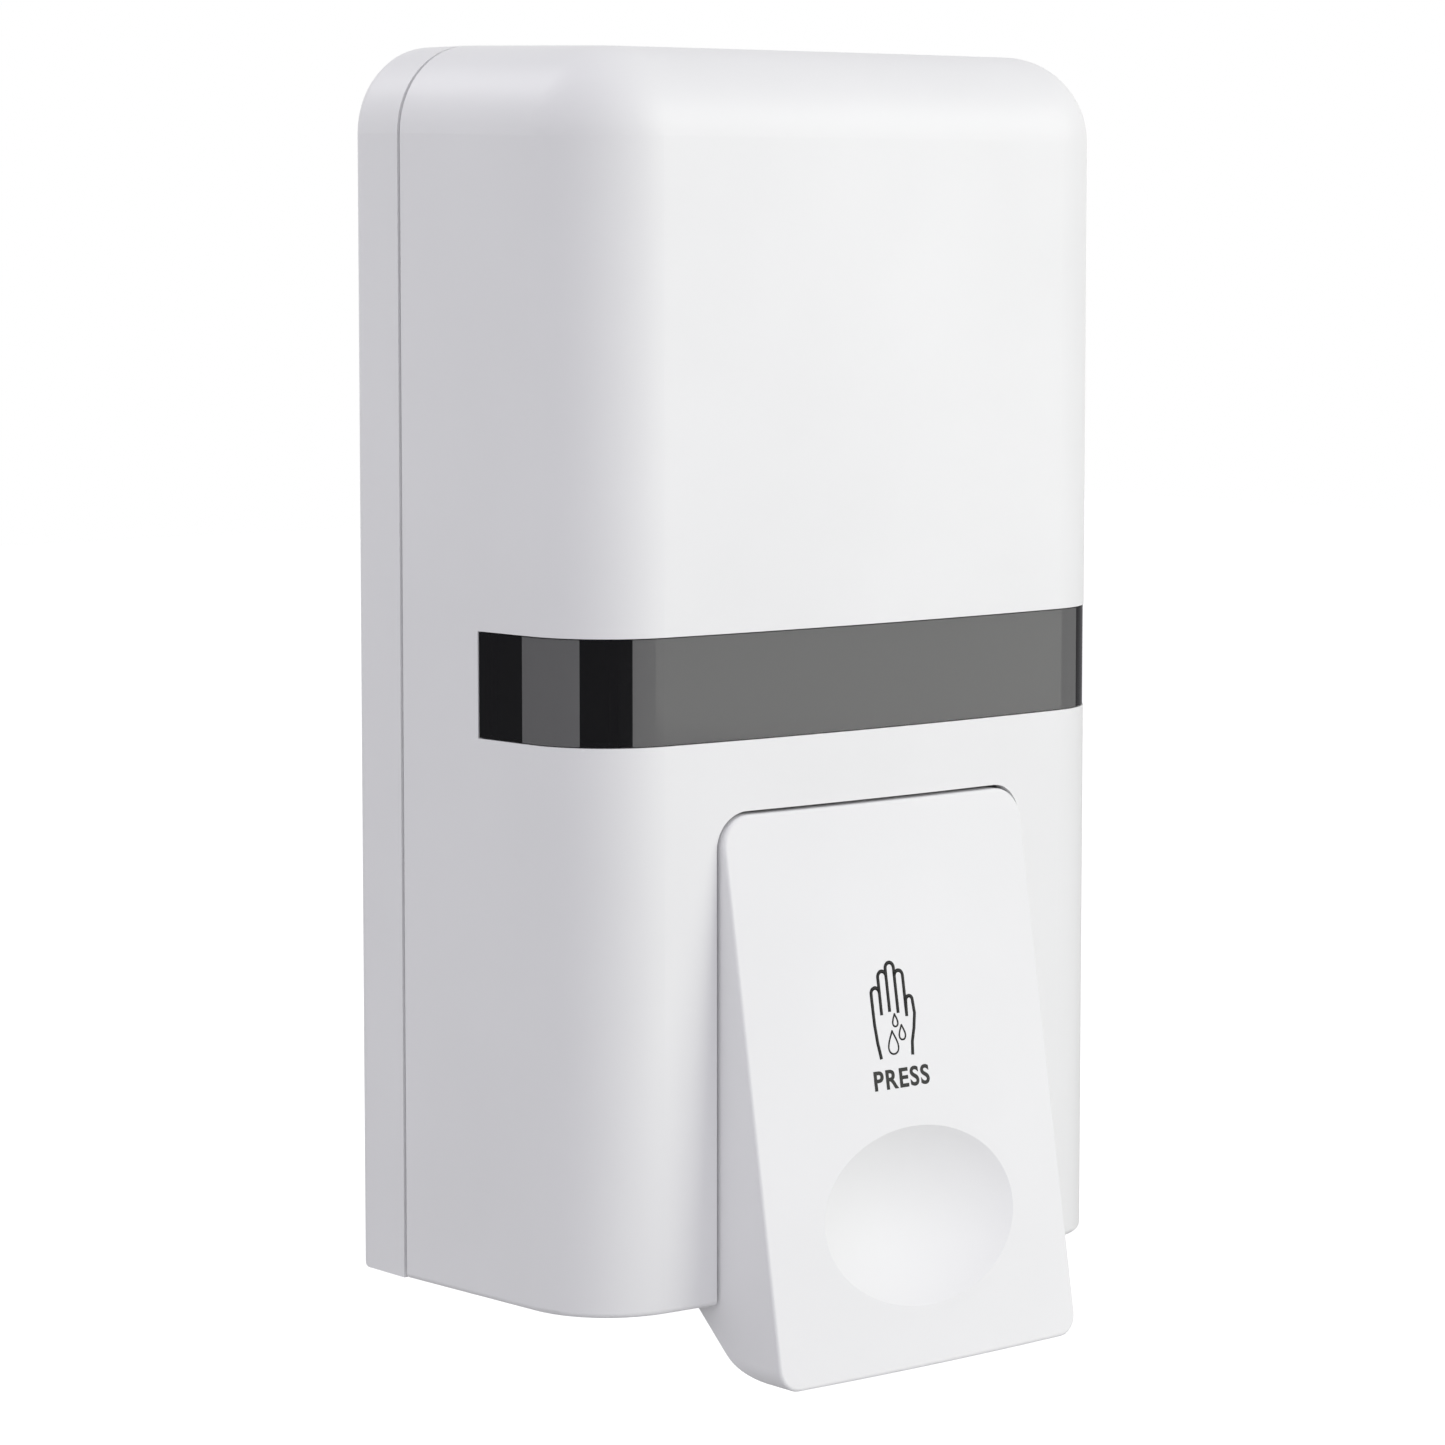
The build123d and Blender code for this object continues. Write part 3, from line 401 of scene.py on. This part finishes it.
letters = bpy.data.curves.new("mark_word", "FONT")
letters.body = "PRESS"
letters.offset = 0.025
letters.space_character = 1.15
letters.extrude = 0.5
letters_sketch = bpy.data.objects.new("mark_word_sketch", letters)
bpy.context.scene.collection.objects.link(letters_sketch)
word = plain_mesh(letters_sketch, "mark_word")
word_low = [min(vertex.co[axis] for vertex in word.vertices) for axis in (0, 1)]
word_high = [max(vertex.co[axis] for vertex in word.vertices) for axis in (0, 1)]
for vertex in word.vertices:
    for axis in (0, 1):
        share = (vertex.co[axis] - word_low[axis]) / (word_high[axis] - word_low[axis])
        vertex.co[axis] = word_box[0][axis] + share * (word_box[1][axis] - word_box[0][axis])
    vertex.co[2] *= ink_film
lay_on_lever(word, "mark_word", ink_black)

# Studio
# A pale floor well below the wall mounted object, and a white surround whose fill is brightest
# from the front left and a trace cool. A large soft lamp lights the front from its right, and a
# weak one lights the top from behind on the left.
floor_z = -0.3
floor_half = 4.0
floor_glow = 0.75
fibre_mm = 60
fill_side = (-0.7, -0.7, 0.0)
fill_strength = 1.02
fill_tint = (0.99, 0.98, 1.033, 1.0)
white = (1.0, 1.0, 1.0, 1.0)

floor_mesh = bpy.data.meshes.new("floor")
floor_corners = [(-floor_half, -floor_half, floor_z), (floor_half, -floor_half, floor_z),
                 (floor_half, floor_half, floor_z), (-floor_half, floor_half, floor_z)]
floor_mesh.from_pydata(floor_corners, [], [(0, 1, 2, 3)])
floor = bpy.data.objects.new("floor", floor_mesh)
bpy.context.scene.collection.objects.link(floor)
material, tree, place = new_material("floor_pale_paper")
fibre = add_node(tree, "ShaderNodeTexNoise", {"Scale": 1000 / fibre_mm, "Detail": 2.0, "Roughness": 0.5},
                 {"Vector": place})
pale = add_node(tree, "ShaderNodeValToRGB", {"stops": ((0.25, "C6C6C6"), (0.75, "CACACA"))}, {"Fac": fibre})
paper = add_node(tree, "ShaderNodeBsdfDiffuse", {}, {"Color": pale})
rays = add_node(tree, "ShaderNodeLightPath", {}).outputs
lift = add_node(tree, "ShaderNodeMath", {"operation": "MULTIPLY", 1: floor_glow}, {0: rays["Is Camera Ray"]})
glow = add_node(tree, "ShaderNodeEmission", {}, {"Strength": lift})
both = add_node(tree, "ShaderNodeAddShader", {}, {0: paper, 1: glow})
add_node(tree, "ShaderNodeOutputMaterial", {}, {"Surface": both})
floor_mesh.materials.append(material)

world = bpy.data.worlds.new("studio")
bpy.context.scene.world = world
world.use_nodes = True
tree = world.node_tree
tree.nodes.clear()
rays = add_node(tree, "ShaderNodeLightPath", {}).outputs
seen = add_node(tree, "ShaderNodeMath", {"operation": "MAXIMUM"},
                {0: rays["Is Camera Ray"], 1: rays["Is Glossy Ray"]})
seen_through = add_node(tree, "ShaderNodeMath", {"operation": "MAXIMUM"},
                        {0: seen, 1: rays["Is Transmission Ray"]})
direction = add_node(tree, "ShaderNodeTexCoord", {}).outputs["Generated"]
towards_fill = add_node(tree, "ShaderNodeVectorMath", {"operation": "DOT_PRODUCT", 1: fill_side},
                        {0: direction})
fill_level = add_node(tree, "ShaderNodeMapRange",
                      {"From Min": -1.0, "To Min": 0.0, "To Max": fill_strength},
                      {"Value": towards_fill.outputs["Value"]})
fill = add_node(tree, "ShaderNodeBackground", {"Color": fill_tint}, {"Strength": fill_level})
backdrop = add_node(tree, "ShaderNodeBackground", {"Color": white, "Strength": 1.0})
surround = add_node(tree, "ShaderNodeMixShader", {}, {0: seen_through, 1: fill, 2: backdrop})
add_node(tree, "ShaderNodeOutputWorld", {}, {"Surface": surround})


def soft_lamp(name, place, side, power, tint):
    """Square studio lamp that faces the middle of the object."""
    lamp = bpy.data.lights.new(name, "AREA")
    lamp.shape = "SQUARE"
    lamp.size = side
    lamp.energy = power
    lamp.color = tint
    holder = bpy.data.objects.new(name, lamp)
    holder.location = place
    holder.rotation_euler = (-Vector(place)).to_track_quat("-Z", "Y").to_euler()
    bpy.context.scene.collection.objects.link(holder)


soft_lamp("key", (1.506, -1.927, 0.52), side=2.0, power=32.5, tint=(0.985, 1.0, 0.93))
soft_lamp("rim", (-0.637, 1.1, 1.27), side=0.8, power=5.5, tint=(1.0, 1.0, 1.0))

# The camera stands at the front left, a little above the object's middle, and looks slightly down.
camera_place = Vector((-0.5587, -0.6984, 0.0814))
yaw, pitch = math.radians(39.75), math.radians(-5.313)
view = Vector((math.sin(yaw) * math.cos(pitch), math.cos(yaw) * math.cos(pitch), math.sin(pitch)))
lens = bpy.data.cameras.new("camera")
lens.lens = 115.33
lens.shift_y = -0.05
lens.sensor_width = 36
lens.clip_start = 0.01
lens.clip_end = 50
camera = bpy.data.objects.new("camera", lens)
camera.location = camera_place
camera.rotation_euler = view.to_track_quat("-Z", "Y").to_euler()
bpy.context.scene.collection.objects.link(camera)
bpy.context.scene.camera = camera
bpy.context.scene.view_settings.view_transform = "Standard"
